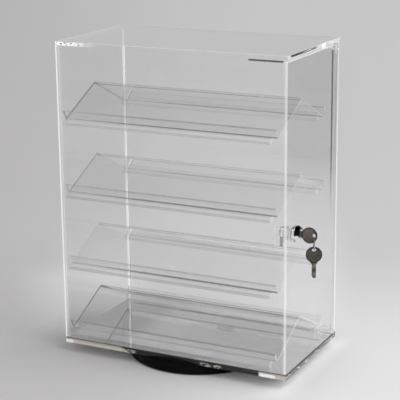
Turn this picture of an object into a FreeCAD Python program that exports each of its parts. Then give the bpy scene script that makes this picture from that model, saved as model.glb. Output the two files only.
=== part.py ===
import FreeCAD
import Part
import math
import os

os.makedirs("parts", exist_ok=True)

# Case, in millimetres, measured from the underside of its base plate
case_width = 381.0
case_depth = 203.0
case_height = 483.0
sheet = 6.0
base_sheet = 6.0
mirror_sheet = 3.0
edge_break = 0.3

# Turntable, standing on the floor at height zero
turntable_height = 16.0
turntable_radius = 114.0
skirt_wall = 1.8
skirt_lift = 2.0
disc_round = 1.2
lower_disc_top = 6.6
disc_gap = 1.2
foot_proud = 1.5
foot_recess = 1.2
foot_radius = 8.0
foot_circle = 95.0
foot_count = 6
middle_foot_radius = 14.0

# Turntable bearing and centre bolt
ball_radius = 2.5
ball_count = 24
race_radius = 84.0
cage_width = 12.0
cage_thickness = 0.8
bolt_radius = 4.0
bolt_head_radius = 8.0
bolt_head_height = 2.6
bolt_socket = 6.0
well_radius = 11.0
well_floor = 10.4
washer_radius = 9.0
washer_thickness = 1.0
nut_across = 13.0
nut_height = 3.0

# Countersunk screws through the base plate
screw_radius = 2.0
screw_head_radius = 4.0
screw_length = 11.0
screw_circle = 62.0
screw_count = 4

# Tent shelves and the strips they rest on
shelf_sheet = 3.0
shelf_slope = 26.0
shelf_lip = 16.2
bend_outside = 4.5
shelf_right_end = 170.5
low_shelf_rest = 21.4
shelf_rest = 128.8
shelf_pitch = 116.2
shelf_count = 4
strip_height = 7.5
strip_depth = 12.0
strip_right_end = 161.0

# Door hinge
pin_radius = 1.5
pin_length = 14.5
block_length = 19.5
block_depth = 11.5
block_height = 10.0
block_end_radius = 5.0
thrust_washer = 0.7
thrust_washer_radius = 2.3

# Lock in the door
lock_inset = 37.0
lock_height = 217.0
bezel_radius = 12.5
bezel_rim = 2.5
bezel_depth = 7.0
bezel_face_radius = 9.5
barrel_radius = 9.4
barrel_flats = 16.0
barrel_length = 22.0
plug_radius = 6.4
plug_collar_radius = 7.6
plug_collar = 2.0
tail_square = 7.0
lock_nut_across = 23.0
lock_nut_height = 3.5
lock_washer = 0.7
lock_washer_radius = 13.0
cam_thickness = 2.0
cam_boss_radius = 8.0
cam_arm_width = 13.0
cam_reach = 22.0
cam_screw_radius = 2.0
cam_screw_head_radius = 4.0
cam_screw_head = 2.2
cam_screw_length = 8.0
strike_reach = 17.2
strike_height = 28.0

# Keys and split ring
key_sheet = 2.0
bow_radius = 12.0
hole_offset = 7.2
hole_width = 6.4
hole_height = 4.6
shoulder_width = 9.5
shoulder_length = 2.0
bow_overlap = 0.6
blade_width = 6.2
blade_length = 22.2
bitting_pitch = 3.4
bitting_depth = 1.1
bitting_count = 5
groove_width = 1.4
groove_depth = 0.5
ring_radius = 9.0
ring_wire = 0.8
ring_turn = 27.0

# Clearances
running = 0.05
thread_fit = 0.02
loose = 0.1
seat = 0.1
key_play = 0.15
ring_play = 0.35
race_play = 0.15
skirt_play = 0.7
shelf_end_play = 0.5
shelf_side_play = 0.4
door_gap = 0.6
door_end_gap = 1.0
door_top_gap = 3.0
notch_gap = 1.0
strike_gap = 0.7


def at(x, y, z):
    return FreeCAD.Vector(x, y, z)


UP = at(0, 0, 1)
RIGHT = at(1, 0, 0)


def span(low, high):
    return Part.makeBox(high.x - low.x, high.y - low.y, high.z - low.z, low)


def pane(low, high):
    solid = span(low, high)
    return solid.makeChamfer(edge_break, solid.Edges)


def post(radius, low, high, x=0.0, y=0.0):
    return Part.makeCylinder(radius, high - low, at(x, y, low), UP)


def shaft(radius, start, end):
    return Part.makeCylinder(radius, end - start, at(start, lock_y, lock_z), RIGHT)


def turned(profile):
    corners = [at(r, 0, z) for r, z in profile]
    face = Part.Face(Part.makePolygon(corners + corners[:1]))
    return face.revolve(at(0, 0, 0), UP, 360)


def prism(corners, along):
    return Part.Face(Part.makePolygon(corners + corners[:1])).extrude(along)


def hexagon(across, centre, first, second, along):
    radius = across / math.sqrt(3)
    corners = []
    for side in range(6):
        turn = math.radians(60 * side + 30)
        corners.append(centre + first * (radius * math.cos(turn)) + second * (radius * math.sin(turn)))
    return prism(corners, along)


def round_the_axis(count, radius, first_turn=0.0):
    spots = []
    for step in range(count):
        turn = math.radians(first_turn + 360.0 * step / count)
        spots.append(at(radius * math.cos(turn), radius * math.sin(turn), 0))
    return spots


def rim_edges(solid, radius, z):
    found = []
    for edge in solid.Edges:
        curve = edge.Curve
        if isinstance(curve, Part.Circle) and abs(curve.Radius - radius) < 1e-4 and abs(curve.Center.z - z) < 1e-4:
            found.append(edge)
    return found


def edges_along_x(solid, y, z):
    found = []
    for edge in solid.Edges:
        ends = [vertex.Point for vertex in edge.Vertexes]
        if all(abs(p.y - y) < 1e-4 and abs(p.z - z) < 1e-4 for p in ends):
            found.append(edge)
    return found


def save(name, shape):
    shape.exportStep("parts/" + name + ".step")


# Heights and faces that the pieces share
base_bottom = turntable_height
base_top = base_bottom + base_sheet
floor_top = base_top + mirror_sheet
case_top = base_bottom + case_height
roof = case_top - sheet
left = -case_width / 2
right = case_width / 2
front = -case_depth / 2
back = case_depth / 2
left_in = left + sheet
right_in = right - sheet
front_in = front + sheet
back_in = back - sheet
upper_disc_bottom = lower_disc_top + disc_gap
ball_level = lower_disc_top + disc_gap / 2
lower_disc_radius = turntable_radius - skirt_wall - skirt_play
hinge_x = right - sheet / 2
hinge_y = back_in - door_gap - sheet / 2
lock_y = front + lock_inset
lock_z = base_bottom + lock_height
shelf_reach = back_in - shelf_side_play - shelf_lip * math.sin(math.radians(shelf_slope))

# Foot pads
feet = []
for spot in round_the_axis(foot_count, foot_circle, 30):
    pad = post(foot_radius, 0, foot_proud + foot_recess, spot.x, spot.y)
    feet.append(pad.makeFillet(0.6, rim_edges(pad, foot_radius, 0)))
pad = post(middle_foot_radius, 0, foot_proud)
feet.append(pad.makeFillet(0.6, rim_edges(pad, middle_foot_radius, 0)))
save("foot_pads", Part.makeCompound(feet))

# Lower turntable disc
lower_disc = post(lower_disc_radius, foot_proud, lower_disc_top)
lower_disc = lower_disc.makeFillet(disc_round, rim_edges(lower_disc, lower_disc_radius, foot_proud))
bolt_seat = foot_proud + 0.5 + bolt_head_height
lower_disc = lower_disc.cut(post(bolt_head_radius + loose, foot_proud, bolt_seat))
lower_disc = lower_disc.cut(post(bolt_radius + loose, bolt_seat, lower_disc_top))
for spot in round_the_axis(foot_count, foot_circle, 30):
    lower_disc = lower_disc.cut(post(foot_radius + loose, foot_proud, foot_proud + foot_recess, spot.x, spot.y))
race = Part.makeTorus(race_radius, ball_radius + race_play, at(0, 0, ball_level), UP)
lower_disc = lower_disc.cut(race)
save("turntable_base", lower_disc)

# Centre bolt, washer and nut
washer_bottom = well_floor + running
nut_bottom = washer_bottom + washer_thickness
bolt_top = nut_bottom + nut_height + 0.8
bolt = post(bolt_head_radius, bolt_seat - bolt_head_height, bolt_seat)
bolt = bolt.fuse(post(bolt_radius, bolt_seat, bolt_top)).removeSplitter()
socket_floor = at(0, 0, bolt_seat - bolt_head_height)
bolt = bolt.cut(hexagon(bolt_socket, socket_floor, RIGHT, at(0, 1, 0), UP * (bolt_head_height - 1)))
save("centre_bolt", bolt)
washer = post(washer_radius, washer_bottom, nut_bottom).cut(post(bolt_radius + loose, washer_bottom, nut_bottom))
save("centre_washer", washer)
nut = hexagon(nut_across, at(0, 0, nut_bottom), RIGHT, at(0, 1, 0), UP * nut_height)
save("centre_nut", nut.cut(post(bolt_radius + thread_fit, nut_bottom, nut_bottom + nut_height)))

# Ball cage and balls
cage_low = ball_level - cage_thickness / 2
cage_high = ball_level + cage_thickness / 2
cage = post(race_radius + cage_width / 2, cage_low, cage_high)
cage = cage.cut(post(race_radius - cage_width / 2, cage_low, cage_high))
balls = []
for spot in round_the_axis(ball_count, race_radius):
    cage = cage.cut(post(ball_radius + running, cage_low, cage_high, spot.x, spot.y))
    balls.append(Part.makeSphere(ball_radius, at(spot.x, spot.y, ball_level)))
save("ball_cage", cage)
save("bearing_balls", Part.makeCompound(balls))

# Upper turntable disc with its skirt
skirt_in = turntable_radius - skirt_wall
upper_disc = turned([
    (bolt_radius + running, upper_disc_bottom),
    (skirt_in, upper_disc_bottom),
    (skirt_in, skirt_lift),
    (turntable_radius, skirt_lift),
    (turntable_radius, turntable_height),
    (well_radius, turntable_height),
    (well_radius, well_floor),
    (bolt_radius + running, well_floor),
])
upper_disc = upper_disc.makeFillet(disc_round, rim_edges(upper_disc, turntable_radius, turntable_height))
upper_disc = upper_disc.makeFillet(skirt_wall / 3, rim_edges(upper_disc, turntable_radius, skirt_lift))
upper_disc = upper_disc.cut(race)
for spot in round_the_axis(screw_count, screw_circle, 45):
    pilot = post(screw_radius + thread_fit, base_top - screw_length - 1, turntable_height, spot.x, spot.y)
    upper_disc = upper_disc.cut(pilot)
save("turntable_top", upper_disc)

# Base plate, its screws and the mirror sheet
base = pane(at(left, front, base_bottom), at(right, back, base_top))
head_depth = screw_head_radius - screw_radius
screws = []
for spot in round_the_axis(screw_count, screw_circle, 45):
    sink = Part.makeCone(screw_radius + loose, screw_head_radius + loose, head_depth,
                         at(spot.x, spot.y, base_top - head_depth), UP)
    base = base.cut(sink)
    base = base.cut(post(screw_radius + loose, base_bottom, base_top, spot.x, spot.y))
    head = Part.makeCone(screw_radius, screw_head_radius, head_depth, at(spot.x, spot.y, base_top - head_depth), UP)
    screw = head.fuse(post(screw_radius, base_top - screw_length, base_top - head_depth, spot.x, spot.y))
    for length, width in ((4.4, 0.9), (0.9, 4.4)):
        low = at(spot.x - length / 2, spot.y - width / 2, base_top - 1.2)
        screw = screw.cut(span(low, low + at(length, width, 1.2)))
    screws.append(screw.removeSplitter())
save("base_plate", base)
save("base_screws", Part.makeCompound(screws))
save("mirror_sheet", pane(at(left, front, base_top), at(right, back, floor_top)))

# Fixed panels
save("left_panel", pane(at(left, front, floor_top), at(left_in, back, roof)))
save("front_panel", pane(at(left_in, front, floor_top), at(right_in - door_gap, front_in, roof)))
save("back_panel", pane(at(left_in, back_in, floor_top), at(right, back, roof)))
save("top_panel", pane(at(left, front, roof), at(right, back, case_top)))


def tent_shelf(rest):
    slope = math.radians(shelf_slope)
    rise = math.tan(slope)
    lean = at(0, -math.sin(slope), math.cos(slope))
    inward = at(0, math.cos(slope), math.sin(slope))
    sag = bend_outside * (math.sin(slope) + math.cos(slope) - 1)
    fold = at(left_in + shelf_end_play, -shelf_reach, rest + seat - sag)
    inner_fold = fold + (inward + lean) * shelf_sheet
    tip = fold + lean * shelf_lip
    inner_tip = tip + inward * shelf_sheet
    under = at(fold.x, 0, fold.z + shelf_reach * rise)
    ridge = at(fold.x, 0, under.z + shelf_sheet / math.cos(slope))
    half = [under, fold, tip, inner_tip, inner_fold, ridge]
    other = [at(p.x, -p.y, p.z) for p in reversed(half[1:-1])]
    solid = prism(half + other, RIGHT * (shelf_right_end - fold.x))
    bend_inside = bend_outside - shelf_sheet
    for corner, radius in ((fold, bend_outside), (inner_fold, bend_inside)):
        for y in (corner.y, -corner.y):
            solid = solid.makeFillet(radius, edges_along_x(solid, y, corner.z))
    solid = solid.makeFillet(bend_outside, edges_along_x(solid, ridge.y, ridge.z))
    solid = solid.makeFillet(bend_inside, edges_along_x(solid, under.y, under.z))
    return solid


# Shelves and support strips, from the lowest up
for level in range(shelf_count):
    if level == 0:
        rest = base_bottom + low_shelf_rest
        strip_low = floor_top
    else:
        rest = base_bottom + shelf_rest + (level - 1) * shelf_pitch
        strip_low = rest - strip_height
    number = str(level + 1)
    save("shelf_" + number, tent_shelf(rest))
    front_strip = pane(at(left_in, front_in, strip_low), at(strip_right_end, front_in + strip_depth, rest))
    back_strip = pane(at(left_in, back_in - strip_depth, strip_low), at(strip_right_end, back_in, rest))
    save("front_strip_" + number, front_strip)
    save("back_strip_" + number, back_strip)


def pivot_block(low, pin_low, pin_high):
    body = span(at(hinge_x - block_length, back_in - block_depth, low), at(hinge_x, back_in, low + block_height))
    end = post(block_end_radius, low, low + block_height, hinge_x, hinge_y)
    spare = span(at(hinge_x - 2 * block_end_radius, back_in, low - 1), at(right + 2 * block_end_radius,
                 back + 2 * block_end_radius, low + block_height + 1))
    body = body.fuse(end.cut(spare)).removeSplitter()
    return body.cut(post(pin_radius + thread_fit, pin_low, pin_high, hinge_x, hinge_y))


# Pivot blocks, hinge pins and thrust washer
low_block_top = floor_top + block_height
high_block_bottom = roof - block_height
pin_in_block = 0.6 * block_height
low_pin_bottom = low_block_top - pin_in_block
low_pin_top = low_pin_bottom + pin_length
high_pin_top = high_block_bottom + pin_in_block
high_pin_bottom = high_pin_top - pin_length
save("bottom_pivot_block", pivot_block(floor_top, low_pin_bottom, low_block_top))
save("top_pivot_block", pivot_block(high_block_bottom, high_block_bottom, high_pin_top))
save("bottom_hinge_pin", post(pin_radius, low_pin_bottom, low_pin_top, hinge_x, hinge_y))
save("top_hinge_pin", post(pin_radius, high_pin_bottom, high_pin_top, hinge_x, hinge_y))
thrust_top = low_block_top + thrust_washer
thrust = post(thrust_washer_radius, low_block_top, thrust_top, hinge_x, hinge_y)
save("thrust_washer", thrust.cut(post(pin_radius + running, low_block_top, thrust_top, hinge_x, hinge_y)))

# Door panel with its rounded hinge edge, corner notches, pin holes and lock hole
door_low = floor_top + door_end_gap
door_high = roof - door_top_gap
low_notch = thrust_top + seat
high_notch = high_block_bottom - door_end_gap
notch_y = back_in - block_depth - notch_gap
door = pane(at(right_in, front, door_low), at(right, notch_y, door_high))
door = door.fuse(span(at(right_in, notch_y - 2 * edge_break, low_notch), at(right, hinge_y, high_notch)))
door = door.fuse(post(sheet / 2, low_notch, high_notch, hinge_x, hinge_y)).removeSplitter()
door = door.cut(post(pin_radius + running, low_notch, low_pin_top + seat, hinge_x, hinge_y))
door = door.cut(post(pin_radius + running, high_pin_bottom - seat, high_notch, hinge_x, hinge_y))
lock_hole = shaft(barrel_radius + loose, right_in - 1, right + 1)
flat = barrel_flats / 2 + loose
lock_hole = lock_hole.common(span(at(right_in - 1, lock_y - flat, lock_z - bezel_radius),
                                  at(right + 1, lock_y + flat, lock_z + bezel_radius)))
save("door_panel", door.cut(lock_hole))

# Lock body, washer and nut
barrel_end = right - barrel_length
bezel_face = right + bezel_depth
barrel = shaft(barrel_radius, barrel_end, right)
barrel = barrel.common(span(at(barrel_end, lock_y - barrel_flats / 2, lock_z - bezel_radius),
                            at(right, lock_y + barrel_flats / 2, lock_z + bezel_radius)))
rim = shaft(bezel_radius, right, right + bezel_rim)
taper = Part.makeCone(bezel_radius, bezel_face_radius, bezel_depth - bezel_rim,
                      at(right + bezel_rim, lock_y, lock_z), RIGHT)
lock_body = rim.fuse([taper, barrel]).removeSplitter()
lock_body = lock_body.cut(shaft(plug_radius + running, barrel_end, bezel_face))
lock_body = lock_body.cut(shaft(plug_collar_radius + running, bezel_face - plug_collar, bezel_face))
save("lock_body", lock_body)
washer_start = right_in - lock_washer
nut_start = washer_start - lock_nut_height
disc = shaft(lock_washer_radius, washer_start, right_in)
save("lock_washer", disc.cut(shaft(barrel_radius + loose, washer_start, right_in)))
lock_nut = hexagon(lock_nut_across, at(nut_start, lock_y, lock_z), at(0, 1, 0), UP, RIGHT * lock_nut_height)
save("lock_nut", lock_nut.cut(shaft(barrel_radius + thread_fit, nut_start, washer_start)))

# Plug with its keyway and square tail
bow_x = bezel_face + seat + shoulder_length + bow_radius - bow_overlap
blade_end = bezel_face + seat - blade_length
cam_start = barrel_end - running - cam_thickness
tail_end = cam_start + 0.2
plug = shaft(plug_radius, barrel_end, bezel_face)
plug = plug.fuse(shaft(plug_collar_radius, bezel_face - plug_collar + running, bezel_face)).removeSplitter()
keyway = span(at(blade_end - seat - key_play, lock_y - key_sheet / 2 - key_play, lock_z - blade_width / 2 - key_play),
              at(bezel_face, lock_y + key_sheet / 2 + key_play, lock_z + blade_width / 2 + key_play))
plug = plug.cut(keyway)
half_tail = tail_square / 2
tail = span(at(tail_end, lock_y - half_tail, lock_z - half_tail), at(barrel_end, lock_y + half_tail, lock_z + half_tail))
plug = plug.fuse(tail).removeSplitter()
screw_tip = cam_start + cam_screw_length
plug = plug.cut(shaft(cam_screw_radius + thread_fit, tail_end, screw_tip + seat))
save("lock_plug", plug)

# Cam, hanging down with the lock open, and its screw
cam = shaft(cam_boss_radius, cam_start, cam_start + cam_thickness)
arm_low = lock_z - cam_reach + cam_arm_width / 2
cam = cam.fuse(span(at(cam_start, lock_y - cam_arm_width / 2, arm_low),
                    at(cam_start + cam_thickness, lock_y + cam_arm_width / 2, lock_z)))
cam = cam.fuse(Part.makeCylinder(cam_arm_width / 2, cam_thickness, at(cam_start, lock_y, arm_low), RIGHT))
half_hole = half_tail + thread_fit
cam = cam.removeSplitter().cut(span(at(cam_start, lock_y - half_hole, lock_z - half_hole),
                                    at(cam_start + cam_thickness, lock_y + half_hole, lock_z + half_hole)))
save("lock_cam", cam)
cam_screw = shaft(cam_screw_head_radius + 1, cam_start - cam_screw_head, cam_start)
cam_screw = cam_screw.makeFillet(0.8, [e for e in cam_screw.Edges if isinstance(e.Curve, Part.Circle)
                                       and abs(e.Curve.Center.x - cam_start + cam_screw_head) < 1e-4])
cam_screw = cam_screw.fuse(shaft(cam_screw_radius, cam_start, screw_tip)).removeSplitter()
slot = span(at(cam_start - cam_screw_head, lock_y - cam_screw_head_radius - 1, lock_z - 0.5),
            at(cam_start - cam_screw_head + 1, lock_y + cam_screw_head_radius + 1, lock_z + 0.5))
save("cam_screw", cam_screw.cut(slot))

# Strike block on the front panel, which the turned cam goes behind
strike_start = cam_start + cam_thickness + strike_gap
strike = pane(at(strike_start, front_in, lock_z - strike_height / 2),
              at(right_in - 2 * door_gap, front_in + strike_reach, lock_z + strike_height / 2))
save("strike_block", strike)


def flat_key(bow):
    thick = at(0, key_sheet, 0)
    low = bow.y - key_sheet / 2
    shoulder_end = bow.x - bow_radius + bow_overlap - shoulder_length
    tip = shoulder_end - blade_length
    key = Part.makeCylinder(bow_radius, key_sheet, at(bow.x, low, bow.z), at(0, 1, 0))
    half = shoulder_width / 2
    key = key.fuse(span(at(shoulder_end, low, bow.z - half), at(bow.x, low + key_sheet, bow.z + half)))
    half = blade_width / 2
    blade = prism([
        at(shoulder_end, low, bow.z - half),
        at(shoulder_end, low, bow.z + half),
        at(tip + half, low, bow.z + half),
        at(tip, low, bow.z + half / 4),
        at(tip + 1, low, bow.z - half),
    ], thick)
    for cut in range(bitting_count):
        x = shoulder_end - bitting_pitch * (cut + 0.9)
        depth = bitting_depth * (0.6 + 0.4 * math.cos(2.3 * cut))
        blade = blade.cut(prism([
            at(x - depth, low, bow.z + half),
            at(x + depth, low, bow.z + half),
            at(x, low, bow.z + half - depth),
        ], thick))
    key = key.fuse(blade).removeSplitter()
    for y in (low, low + key_sheet - groove_depth):
        key = key.cut(span(at(tip, y, bow.z - groove_width / 2), at(shoulder_end + 1, y + groove_depth, bow.z + groove_width / 2)))
    hole_x = bow.x + hole_offset
    run = (hole_width - hole_height) / 2
    hole = span(at(hole_x - hole_height / 2, low, bow.z - run), at(hole_x + hole_height / 2, low + key_sheet, bow.z + run))
    for z in (bow.z - run, bow.z + run):
        hole = hole.fuse(Part.makeCylinder(hole_height / 2, key_sheet, at(hole_x, low, z), at(0, 1, 0)))
    return key.cut(hole)


# Key in the lock, split ring hanging in its bow, spare key hanging in the ring
save("lock_key", flat_key(at(bow_x, lock_y, lock_z)))
hang_x = bow_x + hole_offset
ring_top = lock_z - hole_width / 2 + ring_wire + ring_play
ring_bottom = ring_top - 2 * ring_radius
turn = math.radians(ring_turn)
ring_axis = at(math.cos(turn), math.sin(turn), 0)
save("key_ring", Part.makeTorus(ring_radius, ring_wire, at(hang_x, lock_y, ring_top - ring_radius), ring_axis))
spare_hole = ring_bottom + ring_wire + ring_play - hole_height / 2
spare = flat_key(at(-hole_offset, 0, 0))
spare.rotate(at(0, 0, 0), at(0, 1, 0), -90)
spare.rotate(at(0, 0, 0), UP, ring_turn)
spare.translate(at(hang_x, lock_y, spare_hole))
save("spare_key", spare)
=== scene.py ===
import bpy
import math
from mathutils import Matrix, Vector


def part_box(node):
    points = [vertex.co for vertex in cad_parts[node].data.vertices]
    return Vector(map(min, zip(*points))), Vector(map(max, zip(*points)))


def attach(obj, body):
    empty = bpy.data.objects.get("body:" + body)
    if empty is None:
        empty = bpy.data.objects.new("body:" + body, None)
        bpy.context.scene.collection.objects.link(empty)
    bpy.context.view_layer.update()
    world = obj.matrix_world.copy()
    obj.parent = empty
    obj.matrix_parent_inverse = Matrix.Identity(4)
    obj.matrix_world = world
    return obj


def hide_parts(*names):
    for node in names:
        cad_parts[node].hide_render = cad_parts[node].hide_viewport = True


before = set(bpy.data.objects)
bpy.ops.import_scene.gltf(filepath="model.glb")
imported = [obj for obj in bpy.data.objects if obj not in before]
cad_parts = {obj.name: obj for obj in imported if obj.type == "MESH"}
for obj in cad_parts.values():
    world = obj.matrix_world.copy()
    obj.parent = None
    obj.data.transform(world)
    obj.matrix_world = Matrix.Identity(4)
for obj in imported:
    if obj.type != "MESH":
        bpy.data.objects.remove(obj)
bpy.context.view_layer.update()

X, Y, Z = 0, 1, 2
MM = 0.001
MIX_FACTOR, NUMBER_A, NUMBER_B, COLOUR_A, COLOUR_B = 0, 2, 3, 6, 7
MIXED_COLOUR = 2
origin = (0.0, 0.0, 0.0)
even = (1.0, 1.0, 1.0)

# How squarely a surface faces along an axis, from not at all to fully
flat_only = (0.8, 0.95)
with_chamfer = (0.5, 0.8)

# Places in millimetres where a look changes from one half of the case to the other
front_to_back = (-10.0, 10.0)
left_to_right = (0.0, 10.0)


def box_mm(node):
    low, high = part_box(node)
    return low / MM, high / MM


# Shader arithmetic: one wrapped socket, and a finish that makes any node

class Value:
    """A number on a surface, written as arithmetic."""

    def __init__(self, finish, socket):
        self.finish = finish
        self.socket = socket

    def out(self, name):
        return Value(self.finish, self.socket.node.outputs[name])

    def maths(self, operation, *others):
        values = dict(enumerate((self,) + others))
        return self.finish.node("ShaderNodeMath", {"operation": operation}, values)

    def swapped(self, operation, other):
        return self.finish.node("ShaderNodeMath", {"operation": operation}, {0: other, 1: self})

    def __add__(self, other):
        return self.maths("ADD", other)

    def __sub__(self, other):
        return self.maths("SUBTRACT", other)

    def __mul__(self, other):
        return self.maths("MULTIPLY", other)

    def __truediv__(self, other):
        return self.maths("DIVIDE", other)

    def __abs__(self):
        return self.maths("ABSOLUTE")

    def __rsub__(self, other):
        return self.swapped("SUBTRACT", other)

    def __rtruediv__(self, other):
        return self.swapped("DIVIDE", other)

    __radd__ = __add__
    __rmul__ = __mul__

    def most(self, *others):
        found = self
        for other in others:
            found = found.maths("MAXIMUM", other)
        return found

    def least(self, other):
        return self.maths("MINIMUM", other)

    def rise(self, low, high, start=0.0, end=1.0):
        """Go smoothly from start to end, as this number goes from low to high."""
        settings = {"interpolation_type": "SMOOTHSTEP"}
        values = {"Value": self, "From Min": low, "From Max": high, "To Min": start, "To Max": end}
        return self.finish.node("ShaderNodeMapRange", settings, values)

    def fall(self, low, high):
        return self.rise(low, high, 1.0, 0.0)

    def within(self, start, full, fade, gone):
        return self.rise(start, full) * self.fall(fade, gone)


class Finish:
    """The nodes of one material or of the studio's surroundings."""

    def __init__(self, owner):
        self.owner = owner
        owner.use_nodes = True
        self.tree = owner.node_tree
        self.tree.nodes.clear()

    def node(self, kind, settings=None, values=None, out=0):
        made = self.tree.nodes.new(kind)
        for name, setting in (settings or {}).items():
            setattr(made, name, setting)
        for name, value in (values or {}).items():
            if isinstance(value, Value):
                self.tree.links.new(value.socket, made.inputs[name])
            else:
                made.inputs[name].default_value = value
        return Value(self, made.outputs[out]) if len(made.outputs) else None

    def vector(self, operation, first, second=origin, out=0):
        values = {0: first, 1: second}
        return self.node("ShaderNodeVectorMath", {"operation": operation}, values, out)

    def axes(self, vector):
        parts = self.node("ShaderNodeSeparateXYZ", None, {0: vector})
        return parts, parts.out("Y"), parts.out("Z")

    def place(self, stretch):
        return self.vector("MULTIPLY", self.node("ShaderNodeTexCoord", out="Object"), stretch)

    def spot(self, unit=MM):
        """Where the surface is along each axis, in millimetres unless said."""
        return self.axes(self.place((1.0 / unit,) * 3))

    def normal(self):
        return self.axes(self.node("ShaderNodeTexCoord", out="Normal"))

    def noise(self, scale, stretch=even, detail=3.0, rough=0.55):
        values = {
            "Vector": self.place(stretch),
            "Scale": scale,
            "Detail": detail,
            "Roughness": rough,
        }
        return self.node("ShaderNodeTexNoise", None, values)

    def between(self, mask, low, high):
        values = {MIX_FACTOR: mask}
        for socket, colour in ((COLOUR_A, low), (COLOUR_B, high)):
            values[socket] = colour if isinstance(colour, Value) else tone(colour)
        return self.node("ShaderNodeMix", {"data_type": "RGBA"}, values, out=MIXED_COLOUR)

    def tinted(self, colour, level):
        settings = {"data_type": "RGBA", "blend_type": "MULTIPLY"}
        values = {MIX_FACTOR: 1.0, COLOUR_A: colour, COLOUR_B: level}
        return self.node("ShaderNodeMix", settings, values, out=MIXED_COLOUR)

    def bump(self, height, strength, distance):
        values = {"Strength": strength, "Distance": distance, "Height": height}
        return self.node("ShaderNodeBump", None, values)

    def blend(self, mask, low, high):
        return self.node("ShaderNodeMixShader", None, {0: mask, 1: low, 2: high})

    def body(self, **values):
        sockets = {name.replace("_", " "): value for name, value in values.items()}
        return self.node("ShaderNodeBsdfPrincipled", None, sockets)

    def passing(self, tint):
        """Clear stuff that light goes straight through."""
        return self.node("ShaderNodeBsdfTransparent", None, {"Color": tone(tint)})

    def deep_clear(self, tint):
        """Clear stuff that is often seen behind many other layers."""
        return self.body(Base_Color=tone(tint), Roughness=0.0, IOR=1.0, Transmission_Weight=1.0)

    def shine(self, rough, tint=1.0):
        values = {"Color": tone(tint), "Roughness": rough}
        return self.node("ShaderNodeBsdfAnisotropic", None, values)

    def surface(self, shader, output="ShaderNodeOutputMaterial"):
        self.node(output, None, {"Surface": shader})
        return self.owner


def tone(colour):
    if isinstance(colour, (int, float)):
        colour = (colour, colour, colour)
    return tuple(colour) + (1.0,)


def material(name):
    return Finish(bpy.data.materials.new(name))


# Clear panels: see-through faces with a gloss, and polished edges with painted light that glows

head_on_gloss = 0.039
wiped_gloss = (0.008, 0.05)
moulded_gloss = 0.03
panel_tint = 0.987
deep_panel_tint = 0.975
acrylic_bend = 1.49
edge_rough = 0.12
# Painted glow of the edges, and its stronger level low at the rear left
edge_glow = 0.2
corner_glow = 0.5
# Colour of the painted dark marks: a reflection line and a line of shade
mark_black = 0.02
mark_rough = 0.3
hinge_grey = 0.45
# Painted reflections on the top's edges: dark between the corner's sparkles, and a black to brown
# streak; the back edge is grey
corner_reflection_dark = 0.05
streak_black = 0.012
streak_brown = (0.22, 0.15, 0.11)
back_edge_grey = 0.3
# Painted light and reflections on the base plate's edges: a warm grey front, bright stretches, the
# turntable painted in black, and dark and bright dots on the sides
front_rosy = (0.50, 0.40, 0.38)
front_warm = (0.46, 0.42, 0.37)
front_bright = 0.75
disc_black = 0.006
dot_dark = (0.06, 0.056, 0.053)
dot_bright = 0.8


def gloss_of(f, strength=1.0):
    """What the two faces of a sheet reflect together, seen from outside."""
    graze = f.node("ShaderNodeLayerWeight", None, {"Blend": 0.5}, out="Facing")
    once = head_on_gloss + (1.0 - head_on_gloss) * graze.maths("POWER", 5.0)
    outside = 1.0 - f.node("ShaderNodeNewGeometry", out="Backfacing")
    return 2.0 * strength * once / (1.0 + once) * outside


def daylight(f):
    """Rays that only carry light, which a clear sheet lets through everywhere."""
    shadow = f.node("ShaderNodeLightPath", out="Is Shadow Ray")
    return shadow.most(shadow.out("Is Diffuse Ray"))


def clear_panel(node, thin, edges, mark=None, deep=False):
    """A flat sheet, thin along one axis, with its own painted, glowing edges and painted dark
    marks.
    """
    f = material("clear_" + node)
    low, high = box_mm(node)
    spot = f.spot()
    x, y, z = spot
    normal = f.normal()
    lit = f.passing(panel_tint)
    through = f.deep_clear(deep_panel_tint) if deep else lit
    wiped = f.noise(1.0, (14.0, 14.0, 5.0), 5.0, 0.65).rise(0.3, 0.75, *wiped_gloss)
    face = f.blend(gloss_of(f), through, f.shine(wiped))
    depth = (spot[thin] - low[thin]) / (high[thin] - low[thin])
    shown, colour = edges(f, spot, normal, depth)
    if thin != Z:
        shown = shown * z.rise(low.z + 0.3, low.z + 0.7)
    # Painted glow: the edges give out light of their own, stronger low at the rear left
    rear_left_stronger_glow = y.rise(80.0, 90.0) * x.fall(-180.0, -100.0) * z.fall(60.0, 420.0)
    glow = f.tinted(colour, rear_left_stronger_glow.rise(0.0, 1.0, edge_glow, corner_glow))
    edge = f.body(
        Base_Color=colour,
        Roughness=edge_rough,
        IOR=acrylic_bend,
        Emission_Color=glow,
        Emission_Strength=1.0,
    )
    flat = abs(normal[thin]).rise(*flat_only)
    whole = f.blend(flat, f.blend(shown, through, edge), face)
    # Painted marks: a dark reflection line on the front panel, and a line of painted shade inside
    # the door
    if mark:
        dark = f.body(Base_Color=tone(mark_black), Roughness=mark_rough)
        whole = f.blend(mark((low, high), spot), whole, dark)
    if deep:
        whole = f.blend(daylight(f), whole, lit)
    return f.surface(whole)


def polished(f):
    """Fine upright streaks of a polished saw cut."""
    return f.noise(1.0, (300.0, 300.0, 5.0), 4.0).rise(0.25, 0.55)


def upright_edges(across, strength):
    """Upright edges with painted light, bright in their outer half and faint inside it."""
    faint = min(0.12, strength / 2)

    def look(f, spot, normal, depth):
        upright = abs(normal[across]).rise(*with_chamfer)
        core = depth.rise(0.35, 0.5) * depth.rise(0.85, 0.95, 1.0, 0.6)
        shown = upright * core.rise(0.0, 1.0, strength, faint)
        return shown, f.between(polished(f), 0.7, 1.0)
    return look


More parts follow.
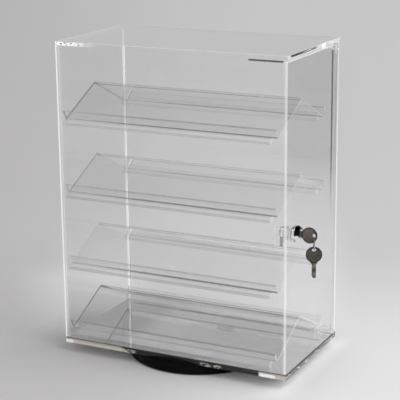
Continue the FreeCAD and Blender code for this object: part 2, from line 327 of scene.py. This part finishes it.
def door_edges(f, spot, normal, depth):
    """Painted light on the edges: a front edge that is bright in its outer half, a bright top and
    a grey hinge edge.
    """
    hinge = spot[Y].rise(90.5, 92.5)
    front = abs(normal[Y]).rise(*with_chamfer) * spot[Y].fall(0.0, 10.0)
    top = abs(normal[Z]).rise(*with_chamfer) * spot[Z].rise(400.0, 410.0)
    outer_front = front * depth.rise(0.3, 0.5, 0.08, 0.5)
    light = f.between(polished(f), 0.75, 1.0)
    return outer_front.most(top * 0.5, hinge * 0.12), f.between(hinge, light, hinge_grey)


def top_edges(f, spot, normal, depth):
    """Painted light on the edges: a bright rim, a front left corner of painted sparkles, and on
    the right a painted dark reflection streak and a painted glint.
    """
    x, y = spot[X], spot[Y]
    rear = y.rise(90.0, 95.0)
    front_or_back = abs(normal[Y]).rise(*flat_only)
    front = front_or_back * (1.0 - rear)
    right = abs(normal[X]).rise(*flat_only) * x.rise(170.0, 180.0)
    corner = front * x.fall(-165.0, -112.0)
    # Painted reflections: a dark streak and a white glint along the right edge
    streak = right * y.within(-93.0, -88.0, 0.0, 16.0) * depth.rise(0.3, 0.45)
    glint = right * y.within(26.0, 29.0, 41.0, 44.0)
    rim = depth.rise(0.72, 0.86) * (1.0 - front)
    sparkle = f.noise(240.0, (1.0, 1.0, 1.6)).rise(0.36, 0.52)
    gaps = f.noise(1.0, (300.0, 16.0, 420.0), 4.0).rise(0.56, 0.7)
    streak_tone = f.between(y.rise(-40.0, 10.0), streak_black, streak_brown)
    colour = f.between(corner * (1.0 - sparkle), 1.0, corner_reflection_dark)
    colour = f.between(streak * (1.0 - gaps), colour, streak_tone)
    colour = f.between(front_or_back * rear, colour, back_edge_grey)
    plain = 0.1 - front * 0.08
    return plain.most(rim * 0.4, corner * 0.9, right * 0.3, streak * 0.95, glint * 0.9), colour


def disc_shows(x):
    """The stretch of the front edge where the black turntable is painted in, as if seen through
    it.
    """
    return x.within(-88.5, -86.5, 145.5, 147.5)


def base_edges(f, spot, normal, depth):
    """Painted light on the edges: a warm grey front edge, painted black with bright sparkles over
    the turntable, and sides with painted dots.
    """
    x = spot[X]
    front = abs(normal[Y]).rise(*flat_only)
    sides = abs(normal[X]).rise(*flat_only)
    sparkle_region = x.fall(-70.0, -60.0).most(x.within(46.0, 52.0, 80.0, 88.0) * 0.7)
    sparkle = f.noise(260.0, (1.0, 1.0, 1.6)).rise(0.44, 0.58) * sparkle_region
    bright = x.fall(-180.0, -174.0).most(x.within(147.5, 149.0, 172.0, 174.0))
    warm = f.between(x.rise(-176.0, -155.0), front_rosy, front_warm)
    colour = f.between(bright * front, warm, front_bright)
    colour = f.between(disc_shows(x) * front * (1.0 - sparkle), colour, disc_black)
    # Painted reflections: dark and bright dots along the sides
    dots = f.noise(1.0, (300.0, 150.0, 420.0)).rise(0.5, 0.62)
    dotted = f.between(dots, dot_dark, dot_bright)
    return front.most(sides * 0.8), f.between(sides, colour, dotted)


def front_reflection_line(box, spot):
    """A painted dark reflection line on the outside of the front panel, near its top right."""
    x, y, z = spot
    face, top = box[0].y, box[1].z
    outer = y.fall(face + 0.3, face + 0.5)
    line = z.within(top - 3.7, top - 3.1, top - 1.2, top - 0.6)
    return line * x.within(128.0, 133.0, 183.8, 184.8) * outer * 0.9


def hinge_shade(box, spot):
    """The dark line inside the door, beside the hinge, which fades out downwards."""
    x, y, z = spot
    face = box[0].x
    inner = x.fall(face + 0.3, face + 1.1)
    return y.within(83.8, 84.8, 90.5, 91.5) * inner * z.rise(200.0, 340.0, 0.0, 0.88)


# Clear shelves with painted light and shade at their folds, the strips they rest on, and the clear
# blocks

shelf_slope = math.radians(26.0)
shelf_light = 0.94
strip_tint = 0.985
block_tint = 0.96
line_rough = 0.2
# Painted shade and light for the shelves' fold lines, cut ends and lips
fold_dark, fold_light = 0.04, 0.16
end_bright = 0.9
lip_pale = 0.95
# Painted light and shade for the strips' ends and undersides
strip_dark = (0.10, 0.09, 0.08)
strip_light = (0.34, 0.30, 0.27)
strip_end = 0.85
# Painted glow for the blocks' rims and spots
spot_dark = 0.2
rim_glow = 0.3


def clear_shelf(number, tint, crease, ridge_line, left_tone, right_end):
    """A bent shelf, seen by painted lines of light and shade at its folds, its lip and its cut
    ends.
    """
    f = material(f"clear_shelf_{number}")
    low, high = box_mm(f"shelf_{number}")
    x, y, z = f.spot()
    nx, ny, nz = f.normal()
    rise, run = math.sin(shelf_slope), math.cos(shelf_slope)
    away = abs(y)
    over_slope = (z - high.z) * run + away * rise
    facing = ny * y.maths("SIGN") * rise + nz * run
    bent = (1.0 - abs(2.0 * facing * facing - 1.0)).rise(0.55, 0.9)
    foot = (z - low.z).fall(0.5, 1.7)
    lip = over_slope.rise(3.5, 5.0)
    tip = over_slope.rise(12.4, 13.0)
    ridge = away.fall(0.8, 1.8)
    end = abs(nx).rise(*flat_only)
    drift = f.noise(1.0, (11.0, 0.0, 0.0))
    fade = x.rise(-185.0, -20.0, 0.35, 1.0) * drift.rise(0.3, 0.6, 0.75, 1.0)
    # Painted lines of shade at the folds, tips and ridge, and painted light on the cut ends
    folds = (bent * y.rise(*front_to_back, 0.2, 0.3)).most(foot * 0.9) * crease
    tips = tip * y.rise(*front_to_back, 0.28, 0.28 * crease)
    ends = end * x.rise(*left_to_right, 0.6, right_end)
    lines = (folds.most(tips) * fade).most(ridge * ridge_line, ends)
    end_tone = f.between(x.rise(*left_to_right), left_tone, end_bright)
    colour = f.between(drift.rise(0.35, 0.65), fold_dark, fold_light)
    colour = f.between(end, colour, end_tone)
    bare_lip = lip * (1.0 - (lines * 8.0).least(1.0))
    drawn = f.body(Base_Color=f.between(bare_lip, colour, lip_pale), Roughness=line_rough)
    face = f.blend(gloss_of(f), f.deep_clear(tint), f.shine(moulded_gloss))
    whole = f.blend(lines.most(lip * 0.1), face, drawn)
    return f.surface(f.blend(daylight(f), whole, f.passing(shelf_light)))


def clear_strip(number):
    """A support strip, seen by painted light on its ends and, where it is raised, by a painted
    line on its underside.
    """
    f = material(f"clear_strip_{number}")
    foot = box_mm(f"front_strip_{number}")[0].z
    on_mirror = foot < box_mm("mirror_sheet")[1].z + 1.0
    x, y, z = f.spot()
    end = abs(f.normal()[X]).rise(*flat_only)
    shown = end * x.rise(*left_to_right, 0.15, 0.6)
    if not on_mirror:
        underside = (z - foot).fall(0.4, 0.9)
        shown = shown.most(underside * y.rise(*front_to_back, 0.3, 0.14))
    drift = f.noise(1.0, (9.0, 0.0, 0.0))
    colour = f.between(drift.rise(0.35, 0.65), strip_dark, strip_light)
    drawn = f.body(Base_Color=f.between(end, colour, strip_end), Roughness=line_rough)
    face = f.blend(gloss_of(f, 0.5), f.passing(strip_tint), f.shine(moulded_gloss))
    return f.surface(f.blend(shown, face, drawn))


def clear_block(node, strength):
    """A small block with glowing rims and glowing spots, both painted light."""
    f = material("clear_" + node)
    low, high = box_mm(node)
    near = []
    for axis, place in enumerate(f.spot()):
        inside = (place - low[axis]).least(high[axis] - place)
        near.append(inside.fall(0.4, 1.0))
    rims = (near[X] * near[Y]).most(near[Y] * near[Z], near[X] * near[Z])
    # Painted light: spots of noise shown bright and glowing like the rims
    spot_noise = f.noise(300.0)
    colour = f.between(spot_noise.rise(0.3, 0.5), spot_dark, 1.0)
    rim = f.body(
        Base_Color=colour,
        Roughness=edge_rough,
        Emission_Color=colour,
        Emission_Strength=rim_glow,
    )
    face = f.blend(gloss_of(f), f.passing(block_tint), f.shine(moulded_gloss))
    shown = (rims * 2.0).most(spot_noise.rise(0.56, 0.7)) * strength
    return f.surface(f.blend(shown, face, rim))


# Mirror, turntable, bearing, lock and key finishes

key_bow = 12.0
silver_hazy = (0.885, 0.88, 0.89)
silver_clear = (0.925, 0.92, 0.93)
silver_shaded = (0.68, 0.675, 0.69)
silver_inside = 0.87
rim_warm = (0.44, 0.40, 0.36)
rim_black = 0.012
rim_top = (0.03, 0.027, 0.025)
bow_rim_shade = 0.012
blade_highlight_tone = (0.19, 0.18, 0.16)
bezel_reflection_dark = 0.015
nylon_low = (0.80, 0.80, 0.78)
nylon_high = (0.90, 0.90, 0.88)
nylon_depth = 2.0 * MM
stain_grain = 160.0
grain_depth = 0.2 * MM
line_depth = 0.1 * MM


def mirror_glass():
    """Slightly hazy silver with painted shade towards the left, and a dark rim, painted black over
    the turntable and on the sides.
    """
    f = material("mirrored_floor")
    spot, normal = f.spot(), f.normal()
    x, z = spot[X], spot[Z]
    top = normal[Z].rise(*flat_only)
    haze = f.noise(26.0, even, 5.0)
    # Painted black on the rim where the turntable shows, and on the sides
    dark_foot = disc_shows(x).most(abs(normal[X]).rise(*flat_only))
    rim_foot = f.between(dark_foot, rim_warm, rim_black)
    rim = f.between(z.rise(23.6, 24.1), rim_foot, rim_top)
    silver = f.between(haze.rise(0.3, 0.7), silver_hazy, silver_clear)
    # Painted shade on the silver towards the left end
    silver = f.between(x.fall(-120.0, -65.0) * 0.9, silver, silver_shaded)
    outside = f.body(
        Base_Color=f.between(top, rim, silver),
        Metallic=top,
        Roughness=haze.rise(0.3, 0.8, 0.015, 0.05) + (1.0 - top) * 0.3,
    )
    silvering = f.shine(moulded_gloss, silver_inside)
    inside = f.blend(z.rise(24.3, 24.8), silvering, f.passing(1.0))
    within = f.node("ShaderNodeNewGeometry", out="Backfacing")
    return f.surface(f.blend(within, outside, inside))


def moulded_black(name, level, rough, grain, sheen=0.35):
    """Black plastic or rubber with a fine grain, faded in wide patches."""
    f = material(name)
    fine = f.noise(grain)
    wide = f.noise(22.0, even, 4.0)
    faded = tuple(part * 1.7 for part in level)
    shader = f.body(
        Base_Color=f.between(wide.rise(0.35, 0.7), level, faded),
        Roughness=fine.rise(0.3, 0.7, rough - 0.08, rough + 0.08),
        Specular_IOR_Level=sheen,
        Normal=f.bump(fine, 0.25, grain_depth),
    )
    return f.surface(shader)


def workings(f, stain, grain, stretch, share):
    """The lines of a metal's working, and these mixed with its stain."""
    lines = f.noise(grain, stretch, 4.0, 0.6)
    return lines, (lines * share + stain * (1.0 - share)).rise(0.35, 0.65)


def worked_metal(name, low, high, rough, grain, stretch=even, strength=0.12, metal=1.0):
    """Metal with the lines of its working and a faint stain."""
    f = material(name)
    lines, mixed = workings(f, f.noise(stain_grain), grain, stretch, 0.6)
    shader = f.body(
        Base_Color=f.between(mixed, low, high),
        Metallic=metal,
        Roughness=mixed.rise(0.0, 1.0, rough + 0.08, rough),
        Normal=f.bump(lines, strength, line_depth),
    )
    return f.surface(shader)


def key_metal(node, along, low, high):
    """Dull metal with painted shade round the rim of the bow and painted highlights on the blade.
    """
    f = material("dull_" + node)
    first, last = box_mm(node)
    bow = (first + last) / 2
    bow[along] = last[along] - key_bow
    off = f.vector("SUBTRACT", f.place((1.0 / MM,) * 3), bow)
    reach = f.vector("LENGTH", off, out="Value")
    stain = f.noise(stain_grain)
    lines, mixed = workings(f, stain, 700.0, (6.0, 1.0, 1.0), 0.5)
    blade = (key_bow + 0.8, key_bow + 1.6)
    # Painted shade round the bow's rim, and painted highlights in patches on the blade
    rim = reach.within(key_bow - 2.4, key_bow - 0.6, *blade)
    blade_highlight = reach.rise(*blade) * stain.rise(0.45, 0.6)
    colour = f.between(rim * 0.6, f.between(mixed, low, high), bow_rim_shade)
    shader = f.body(
        Base_Color=f.between(blade_highlight, colour, blade_highlight_tone),
        Metallic=1.0,
        Roughness=mixed.rise(0.0, 1.0, 0.36, 0.28),
        Normal=f.bump(lines, 0.12, line_depth),
    )
    return f.surface(shader)


def lock_chrome():
    """Chrome with a painted dark reflection on the upper half of its bezel, where it faces away
    from the floor.
    """
    f = material("lock_chrome")
    spot = f.spot()
    low, high = box_mm("lock_body")
    middle = (low.z + high.z) / 2
    door_face = box_mm("door_panel")[1].x
    swirl = f.noise(stain_grain)
    bright = f.between(swirl.rise(0.35, 0.65), 0.75, 0.98)
    # Painted dark reflection on the bezel's upper half
    bezel = spot[X].rise(door_face + 0.6, door_face + 1.2)
    upper_half = spot[Z].rise(middle - 1.0, middle + 0.5)
    shader = f.body(
        Base_Color=f.between(bezel * upper_half, bright, bezel_reflection_dark),
        Metallic=1.0,
        Roughness=swirl.rise(0.35, 0.65, 0.1, 0.05),
    )
    return f.surface(shader)


def white_moulding():
    """White nylon that lets a little light in."""
    f = material("white_nylon")
    fine = f.noise(900.0, even, 2.0)
    shader = f.body(
        Base_Color=f.between(fine.rise(0.35, 0.65), nylon_low, nylon_high),
        Roughness=fine.rise(0.3, 0.7, 0.32, 0.45),
        Subsurface_Weight=0.2,
        Subsurface_Radius=(nylon_depth, nylon_depth, nylon_depth),
        Normal=f.bump(fine, 0.1, line_depth),
    )
    return f.surface(shader)


finishes = {
    "left_panel": clear_panel("left_panel", X, upright_edges(Y, 0.75), deep=True),
    "door_panel": clear_panel("door_panel", X, door_edges, hinge_shade),
    "front_panel": clear_panel("front_panel", Y, upright_edges(X, 0.1), front_reflection_line),
    "back_panel": clear_panel("back_panel", Y, upright_edges(X, 0.5), deep=True),
    "top_panel": clear_panel("top_panel", Z, top_edges),
    "base_plate": clear_panel("base_plate", Z, base_edges),
    "mirror_sheet": mirror_glass(),
    "lock_body": lock_chrome(),
    "lock_key": key_metal("lock_key", X, (0.08, 0.068, 0.064), (0.20, 0.172, 0.162)),
    "spare_key": key_metal("spare_key", Z, (0.05, 0.047, 0.038), (0.12, 0.113, 0.094)),
}

# The shelves from the lowest up: tint, creases, ridge line, left end's tone, right end; the tints
# differ as painted shade, and the lines and ends are painted
shelf_looks = (
    (0.95, 0.3, 0.6, 0.06, 0.6),
    (0.997, 1.0, 0.4, 0.9, 0.2),
    (0.98, 1.0, 0.5, 0.3, 0.3),
    (0.93, 1.0, 0.7, 0.03, 0.4),
)
for number, look in enumerate(shelf_looks, 1):
    finishes[f"shelf_{number}"] = clear_shelf(number, *look)
    strip = clear_strip(number)
    finishes[f"front_strip_{number}"] = strip
    finishes[f"back_strip_{number}"] = strip

block_rims = {"bottom_pivot_block": 0.45, "top_pivot_block": 0.45, "strike_block": 0.22}
for node, strength in block_rims.items():
    finishes[node] = clear_block(node, strength)

black_disc = moulded_black("black_moulded_disc", (0.002, 0.002, 0.002), 0.5, 1500.0, 0.06)
black_cage = moulded_black("black_cage_plastic", (0.02, 0.02, 0.02), 0.4, 1100.0)
soft_rubber = moulded_black("dark_rubber", (0.025, 0.024, 0.023), 0.75, 2200.0)
nylon = white_moulding()
bright_steel = worked_metal(
    "bright_steel", (0.46, 0.46, 0.47), (0.62, 0.62, 0.63), 0.22, 500.0, (1.0, 1.0, 6.0)
)
chrome = worked_metal(
    "chrome", (0.62, 0.62, 0.63), (0.97, 0.97, 0.98), 0.06, 160.0, strength=0.03
)
bright_zinc = worked_metal(
    "bright_zinc", (0.86, 0.86, 0.87), (0.98, 0.98, 0.99), 0.15, 160.0, strength=0.03, metal=0.3
)
cam_steel = worked_metal(
    "cam_steel", (0.06, 0.06, 0.06), (0.45, 0.45, 0.46), 0.2, 260.0, (1.0, 1.0, 0.1)
)
ring_wire = worked_metal(
    "ring_wire", (0.50, 0.49, 0.47), (0.70, 0.69, 0.67), 0.18, 600.0, (4.0, 4.0, 1.0)
)
shared = (
    (black_disc, ("turntable_base", "turntable_top")),
    (black_cage, ("ball_cage",)),
    (soft_rubber, ("foot_pads",)),
    (nylon, ("bottom_hinge_pin", "top_hinge_pin", "thrust_washer")),
    (bright_steel, ("centre_bolt", "centre_washer", "centre_nut", "bearing_balls")),
    (bright_steel, ("base_screws", "cam_screw")),
    (chrome, ("lock_plug",)),
    (bright_zinc, ("lock_washer", "lock_nut")),
    (cam_steel, ("lock_cam",)),
    (ring_wire, ("key_ring",)),
)
for made, nodes in shared:
    finishes.update(dict.fromkeys(nodes, made))

for node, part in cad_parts.items():
    part.data.materials.clear()
    part.data.materials.append(finishes[node])


# Split ring: two flat turns of sprung wire with a crossing between them

ring_radius = 9.0 * MM
ring_turn = math.radians(27.0)
ring_low, ring_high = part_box("key_ring")
ring_middle = (ring_low + ring_high) / 2
turn_pitch = 0.82 * MM
wire_across = 0.74 * MM
wire_deep = 1.44 * MM
wire_round = 0.24 * MM
steps_round = 48
wound_steps = 2 * steps_round - 2
crossing_steps = 8
smooth_angle = math.radians(35.0)


def start_fresh():
    bpy.ops.object.select_all(action="DESELECT")
    bpy.context.view_layer.objects.active = None


def turn_about(axis, angle):
    bpy.ops.transform.rotate(value=angle, orient_axis=axis, center_override=origin)


def wind_split_ring():
    start_fresh()
    bpy.ops.mesh.primitive_plane_add(size=1.0, location=origin)
    ring = bpy.context.object
    ring.name = "split_ring"
    bpy.ops.object.mode_set(mode="EDIT")
    bpy.ops.mesh.select_all(action="SELECT")
    bpy.ops.transform.resize(value=(wire_deep, wire_across, 1.0))
    bpy.ops.mesh.bevel(offset=wire_round, segments=3, affect="VERTICES")
    turn_about("X", math.pi / 2)
    bpy.ops.transform.translate(value=(ring_radius, 0.0, -turn_pitch / 2))
    crossing_start = (wound_steps - crossing_steps) // 2
    for count in range(wound_steps):
        bpy.ops.mesh.extrude_region()
        turn_about("Z", 2 * math.pi / steps_round)
        if 0 <= count - crossing_start < crossing_steps:
            bpy.ops.transform.translate(value=(0.0, 0.0, turn_pitch / crossing_steps))
    bpy.ops.mesh.select_all(action="SELECT")
    bpy.ops.mesh.remove_doubles(threshold=0.001 * MM)
    bpy.ops.mesh.normals_make_consistent(inside=False)
    turn_about("Y", math.pi / 2)
    turn_about("Z", -ring_turn)
    bpy.ops.transform.translate(value=ring_middle)
    bpy.ops.object.mode_set(mode="OBJECT")
    bpy.ops.object.shade_smooth_by_angle(angle=smooth_angle)
    ring.data.materials.append(ring_wire)
    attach(ring, "ring")
    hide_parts("key_ring")


wind_split_ring()


# Floor, surroundings, lights and camera

view_turn = math.radians(26.72)
view_height = math.radians(14.72)
view_roll = math.radians(-0.61)
view_middle = Vector((0.0, 0.0, 0.2575))
view_distance = 2.08
eye_reach = 2.0
floor_size = 40.0
floor_dim = (0.485, 0.475, 0.48)
floor_bright = (0.97, 0.965, 0.98)
floor_mottled = 0.6
floor_unlit = 0.12
# Painted light on the floor, and painted reflections seen only in glossy rays
right_painted_light = 0.23
close_right_painted_light = 0.36
rear_left_painted_light = 0.2
beside_painted_light = 0.3
mirrored_right_painted_reflection = 0.37
ahead_painted_light = 0.38
open_light = 0.53
room_ahead = 0.18
room_behind = 0.04
window_bright = 2.2
window_way = (-0.43, -0.25, 0.86)
window_side = Vector((0.95, -0.05, 0.0))
window_height = math.radians(46.0)
window_spread = math.radians(60.0)
window_strength = 2.0
fill_watts = 12.0
fill_width = 1.4
fill_place = (0.4, -2.2, 1.4)
fill_aim = (0.0, 0.0, 0.2)


def pale_floor():
    """A plain floor, measured in metres, with painted light: brighter to the right and close to
    the case, lighter where shade falls near the case, and lighter or darker in places seen only in
    reflections.
    """
    start_fresh()
    bpy.ops.mesh.primitive_plane_add(size=floor_size, location=origin)
    floor = bpy.context.object
    floor.name = "pale_floor"
    f = material("pale_floor")
    x, y = f.spot(unit=1.0)[:2]
    across = x * math.cos(view_turn) + y * math.sin(view_turn)
    depth = y * math.cos(view_turn) - x * math.sin(view_turn)
    side = across / (depth + eye_reach).most(1.0)
    path = f.node("ShaderNodeLightPath", out="Is Glossy Ray")
    mirrored = path * (1.0 - path.out("Is Transmission Ray"))
    centre = side.within(-0.13, -0.07, 0.085, 0.13) * depth.within(-0.02, 0.2, 2.5, 4.0)
    rear_left = side.within(-0.155, -0.11, -0.06, -0.03) * depth.within(0.04, 0.13, 0.34, 0.5)
    beside = x.within(0.14, 0.18, 0.185, 0.215) * y.within(-0.16, -0.08, 0.1, 0.16)
    mirrored_right = mirrored * side.rise(0.18, 0.4) * depth.fall(0.1, 0.9)
    # Painted light: brighter to the right and near the case, and lighter where shadow falls at the
    # rear left and beside the base
    painted_light_level = side.rise(-0.17, 0.06) * right_painted_light
    painted_light_level = painted_light_level + side.rise(-0.09, 0.14) * depth.fall(-0.1, 0.6) * close_right_painted_light
    painted_light_level = painted_light_level + centre * depth.rise(0.3, 1.15, 0.2, -0.06)
    painted_light_level = painted_light_level + rear_left * rear_left_painted_light + beside * beside_painted_light
    painted_light_level = painted_light_level + mirrored_right * mirrored_right_painted_reflection
    # Painted reflection: in front, the floor is lighter or darker only where it is seen in
    # reflections
    ahead = ahead_painted_light + mirrored * depth.rise(-2.2, -0.7, -0.08, 0.47)
    near_case = {MIX_FACTOR: depth.rise(-0.9, -0.4), NUMBER_A: ahead, NUMBER_B: painted_light_level}
    colour = f.between(f.node("ShaderNodeMix", None, near_case), floor_dim, floor_bright)
    # Painted shade on the far right, seen only in reflections
    far_right_reflected_shade = mirrored * side.rise(0.26, 0.5) * depth.rise(0.45, 0.95)
    colour = f.between(far_right_reflected_shade * 0.9, colour, floor_unlit)
    mottle = f.noise(7.0, even, 4.0).rise(0.3, 0.7)
    colour = f.between(mottle * 0.05, colour, floor_mottled)
    shader = f.body(Base_Color=colour, Roughness=0.6, Specular_IOR_Level=0.2)
    floor.data.materials.append(f.surface(shader))


def surroundings():
    """Even light, and a softly graded room with one window for what is seen or reflected."""
    f = Finish(bpy.data.worlds.new("studio"))
    way = f.node("ShaderNodeTexCoord", out="Generated")
    x, y, up = f.axes(way)
    behind = y.rise(-0.25, 0.35)
    back_wall = behind * x.rise(0.05, 0.5, 1.0, 0.45) * up.fall(0.35, 0.85)
    level = back_wall + (1.0 - behind) * up.fall(0.3, 0.75)
    window = f.vector("DOT_PRODUCT", way, window_way, out="Value").rise(0.93, 0.97)
    room = f.between(level, f.between(behind, room_ahead, room_behind), open_light)
    colour = f.between(window, room, window_bright)
    path = f.node("ShaderNodeLightPath", out="Is Camera Ray")
    seen = path.most(path.out("Is Glossy Ray"), path.out("Is Transmission Ray"))
    light = f.node("ShaderNodeBackground", None, {"Color": tone(1.0), "Strength": open_light})
    show = f.node("ShaderNodeBackground", None, {"Color": colour, "Strength": 1.0})
    bpy.context.scene.world = f.surface(f.blend(seen, light, show), "ShaderNodeOutputWorld")


def hang_light(name, kind, strength, place, aim):
    """A light at one place that points at another, and is not itself reflected."""
    light = bpy.data.lights.new(name, kind)
    light.energy = strength
    made = bpy.data.objects.new(name, light)
    bpy.context.scene.collection.objects.link(made)
    made.location = place
    made.visible_glossy = False
    made.visible_transmission = False
    made.rotation_mode = "QUATERNION"
    made.rotation_quaternion = (Vector(aim) - Vector(place)).to_track_quat("-Z", "Y")
    return light


def studio_lights():
    """A wide window high on the right, and a soft lamp in front."""
    level = window_side.normalized() * math.cos(window_height)
    towards_window = level + Vector((0.0, 0.0, math.sin(window_height)))
    window = hang_light("right_hand_window", "SUN", window_strength, towards_window, origin)
    window.angle = window_spread
    fill = hang_light("front_fill_lamp", "AREA", fill_watts, fill_place, fill_aim)
    fill.shape = "DISK"
    fill.size = fill_width


def photo_camera():
    """The place, tilt and lens that the photo was taken with."""
    out_along = math.cos(view_height)
    back = Vector((
        math.sin(view_turn) * out_along,
        -math.cos(view_turn) * out_along,
        math.sin(view_height),
    ))
    right = Vector((math.cos(view_turn), math.sin(view_turn), 0.0))
    up = back.cross(right)
    turned_right = math.cos(view_roll) * right + math.sin(view_roll) * up
    turned_up = -math.sin(view_roll) * right + math.cos(view_roll) * up
    lens = bpy.data.cameras.new("photo_camera")
    lens.lens = 120.06
    lens.sensor_width = 36.0
    lens.shift_x = 0.0016
    lens.shift_y = -0.01595
    lens.clip_start = 0.05
    lens.clip_end = 100.0
    camera = bpy.data.objects.new("photo_camera", lens)
    bpy.context.scene.collection.objects.link(camera)
    turn = Matrix((turned_right, turned_up, back)).transposed().to_4x4()
    camera.matrix_world = Matrix.Translation(view_middle + back * view_distance) @ turn
    bpy.context.scene.camera = camera


pale_floor()
surroundings()
studio_lights()
photo_camera()
bpy.context.scene.view_settings.view_transform = "Standard"
